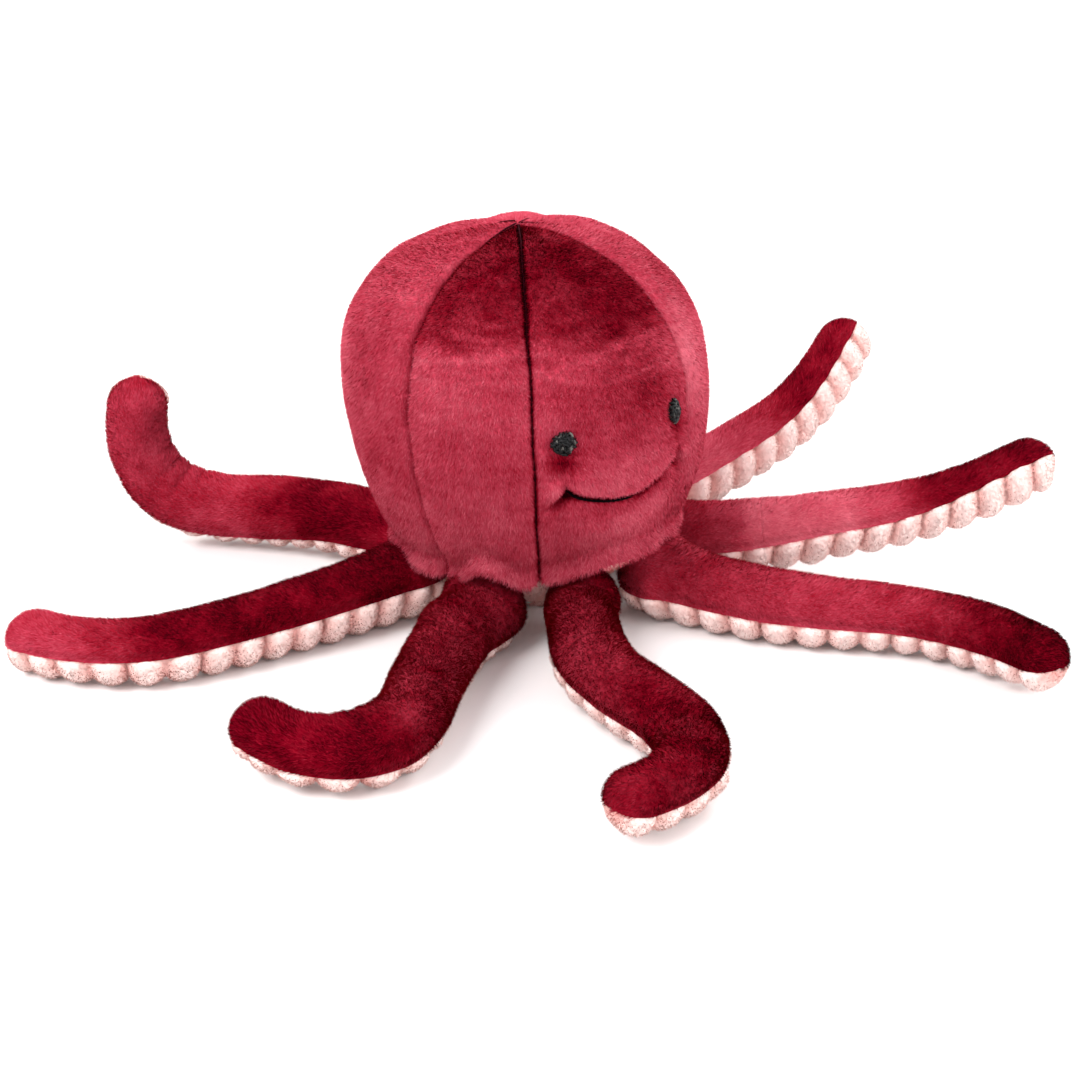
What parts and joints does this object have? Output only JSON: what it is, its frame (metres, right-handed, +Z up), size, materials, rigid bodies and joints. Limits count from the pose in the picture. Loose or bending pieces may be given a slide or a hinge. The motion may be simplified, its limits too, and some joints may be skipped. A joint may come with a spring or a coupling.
{
  "type": "plush octopus toy",
  "caption": "Stuffed toy octopus: gored plush head with embroidered face, and jointed tentacles of plush over ribbed fabric.",
  "frame": {"origin": "centre of the base panel's flat, on the surface that the toy stands on", "axes": "+Z up through the crown; the face looks towards -Y; +X is to the right of a viewer facing the face"},
  "size_m": [0.3519, 0.3514, 0.135],
  "materials": {
    "plush_burgundy": "short pile plush",
    "corduroy_pink": "ribbed chenille, tufted",
    "stuffing": "loose polyester fibre",
    "thread_black": "embroidery thread"
  },
  "bodies": {
    "head": {"head_face_panel": "plush_burgundy", "head_side_panel_left": "plush_burgundy", "head_side_panel_right": "plush_burgundy", "head_rear_side_panel_left": "plush_burgundy", "head_rear_side_panel_right": "plush_burgundy", "head_back_panel_left": "plush_burgundy", "head_back_panel_right": "plush_burgundy", "head_base_panel": "corduroy_pink", "head_stuffing": "stuffing", "eye_left": "thread_black", "eye_right": "thread_black", "smile_thread": "thread_black"},
    "tentacle_1_inner": {"tentacle_1_inner_top": "plush_burgundy", "tentacle_1_inner_underside": "corduroy_pink", "tentacle_1_inner_stuffing": "stuffing"},
    "tentacle_1_outer": {"tentacle_1_outer_top": "plush_burgundy", "tentacle_1_outer_underside": "corduroy_pink", "tentacle_1_outer_stuffing": "stuffing"},
    "tentacle_2_inner": {"tentacle_2_inner_top": "plush_burgundy", "tentacle_2_inner_underside": "corduroy_pink", "tentacle_2_inner_stuffing": "stuffing"},
    "tentacle_2_outer": {"tentacle_2_outer_top": "plush_burgundy", "tentacle_2_outer_underside": "corduroy_pink", "tentacle_2_outer_stuffing": "stuffing"},
    "tentacle_3_inner": {"tentacle_3_inner_top": "plush_burgundy", "tentacle_3_inner_underside": "corduroy_pink", "tentacle_3_inner_stuffing": "stuffing"},
    "tentacle_3_outer": {"tentacle_3_outer_top": "plush_burgundy", "tentacle_3_outer_underside": "corduroy_pink", "tentacle_3_outer_stuffing": "stuffing"},
    "tentacle_4_inner": {"tentacle_4_inner_top": "plush_burgundy", "tentacle_4_inner_underside": "corduroy_pink", "tentacle_4_inner_stuffing": "stuffing"},
    "tentacle_4_outer": {"tentacle_4_outer_top": "plush_burgundy", "tentacle_4_outer_underside": "corduroy_pink", "tentacle_4_outer_stuffing": "stuffing"},
    "tentacle_5_inner": {"tentacle_5_inner_top": "plush_burgundy", "tentacle_5_inner_underside": "corduroy_pink", "tentacle_5_inner_stuffing": "stuffing"},
    "tentacle_5_outer": {"tentacle_5_outer_top": "plush_burgundy", "tentacle_5_outer_underside": "corduroy_pink", "tentacle_5_outer_stuffing": "stuffing"},
    "tentacle_6_inner": {"tentacle_6_inner_top": "plush_burgundy", "tentacle_6_inner_underside": "corduroy_pink", "tentacle_6_inner_stuffing": "stuffing"},
    "tentacle_6_outer": {"tentacle_6_outer_top": "plush_burgundy", "tentacle_6_outer_underside": "corduroy_pink", "tentacle_6_outer_stuffing": "stuffing"},
    "tentacle_7_inner": {"tentacle_7_inner_top": "plush_burgundy", "tentacle_7_inner_underside": "corduroy_pink", "tentacle_7_inner_stuffing": "stuffing"},
    "tentacle_7_outer": {"tentacle_7_outer_top": "plush_burgundy", "tentacle_7_outer_underside": "corduroy_pink", "tentacle_7_outer_stuffing": "stuffing"},
    "tentacle_8_inner": {"tentacle_8_inner_top": "plush_burgundy", "tentacle_8_inner_underside": "corduroy_pink", "tentacle_8_inner_stuffing": "stuffing"},
    "tentacle_8_outer": {"tentacle_8_outer_top": "plush_burgundy", "tentacle_8_outer_underside": "corduroy_pink", "tentacle_8_outer_stuffing": "stuffing"}
  },
  "joints": [
    {"name": "tentacle_1_lift", "type": "hinge", "parent": "head", "child": "tentacle_1_inner", "pos_m": [-0.01237, -0.05154, 0.0131], "axis": [-0.9724, 0.2334, 0], "range_deg": [0, 45], "stiffness_Nm_per_rad": 0.15},
    {"name": "tentacle_1_curl", "type": "hinge", "parent": "tentacle_1_inner", "child": "tentacle_1_outer", "pos_m": [-0.02912, -0.11192, 0.01253], "axis": [0, 0, 1], "range_deg": [-30, 30], "stiffness_Nm_per_rad": 0.1},
    {"name": "tentacle_2_lift", "type": "hinge", "parent": "head", "child": "tentacle_2_inner", "pos_m": [0.03078, -0.04315, 0.0131], "axis": [-0.8141, -0.5807, 0], "range_deg": [0, 45], "stiffness_Nm_per_rad": 0.15},
    {"name": "tentacle_2_curl", "type": "hinge", "parent": "tentacle_2_inner", "child": "tentacle_2_outer", "pos_m": [0.06854, -0.09512, 0.01197], "axis": [0, 0, 1], "range_deg": [-30, 30], "stiffness_Nm_per_rad": 0.1},
    {"name": "tentacle_3_lift", "type": "hinge", "parent": "head", "child": "tentacle_3_inner", "pos_m": [0.05227, -0.00875, 0.0131], "axis": [-0.165, -0.9863, 0], "range_deg": [0, 45], "stiffness_Nm_per_rad": 0.15},
    {"name": "tentacle_3_curl", "type": "hinge", "parent": "tentacle_3_inner", "child": "tentacle_3_outer", "pos_m": [0.10216, -0.04917, 0.02158], "axis": [-0.5373, -0.8434, 0], "range_deg": [-8, 35], "stiffness_Nm_per_rad": 0.1},
    {"name": "tentacle_4_lift", "type": "hinge", "parent": "head", "child": "tentacle_4_inner", "pos_m": [0.04315, 0.03078, 0.0131], "axis": [0.5807, -0.8141, 0], "range_deg": [0, 45], "stiffness_Nm_per_rad": 0.15},
    {"name": "tentacle_4_curl", "type": "hinge", "parent": "tentacle_4_inner", "child": "tentacle_4_outer", "pos_m": [0.10629, 0.02297, 0.02376], "axis": [-0.061, -0.9981, 0], "range_deg": [-25, 35], "stiffness_Nm_per_rad": 0.1},
    {"name": "tentacle_5_lift", "type": "hinge", "parent": "head", "child": "tentacle_5_inner", "pos_m": [0.00875, 0.05227, 0.0131], "axis": [0.9863, -0.165, 0], "range_deg": [0, 45], "stiffness_Nm_per_rad": 0.15},
    {"name": "tentacle_5_curl", "type": "hinge", "parent": "tentacle_5_inner", "child": "tentacle_5_outer", "pos_m": [0.03149, 0.11311, 0.01197], "axis": [0, 0, 1], "range_deg": [-30, 30], "stiffness_Nm_per_rad": 0.1},
    {"name": "tentacle_6_lift", "type": "hinge", "parent": "head", "child": "tentacle_6_inner", "pos_m": [-0.03078, 0.04315, 0.0131], "axis": [0.8141, 0.5807, 0], "range_deg": [0, 40], "stiffness_Nm_per_rad": 0.15},
    {"name": "tentacle_6_curl", "type": "hinge", "parent": "tentacle_6_inner", "child": "tentacle_6_outer", "pos_m": [-0.07001, 0.09426, 0.01423], "axis": [0.6756, 0.7373, 0], "range_deg": [0, 25], "stiffness_Nm_per_rad": 0.1},
    {"name": "tentacle_7_lift", "type": "hinge", "parent": "head", "child": "tentacle_7_inner", "pos_m": [-0.05227, 0.00875, 0.0131], "axis": [0.165, 0.9863, 0], "range_deg": [0, 45], "stiffness_Nm_per_rad": 0.15},
    {"name": "tentacle_7_curl", "type": "hinge", "parent": "tentacle_7_inner", "child": "tentacle_7_outer", "pos_m": [-0.11701, 0.00422, 0.01197], "axis": [0, 0, 1], "range_deg": [-30, 30], "stiffness_Nm_per_rad": 0.1},
    {"name": "tentacle_8_lift", "type": "hinge", "parent": "head", "child": "tentacle_8_inner", "pos_m": [-0.0442, -0.02925, 0.0131], "axis": [-0.5519, 0.8339, 0], "range_deg": [0, 45], "stiffness_Nm_per_rad": 0.15},
    {"name": "tentacle_8_curl", "type": "hinge", "parent": "tentacle_8_inner", "child": "tentacle_8_outer", "pos_m": [-0.09009, -0.07514, 0.01253], "axis": [0, 0, 1], "range_deg": [-30, 30], "stiffness_Nm_per_rad": 0.1}
  ]
}
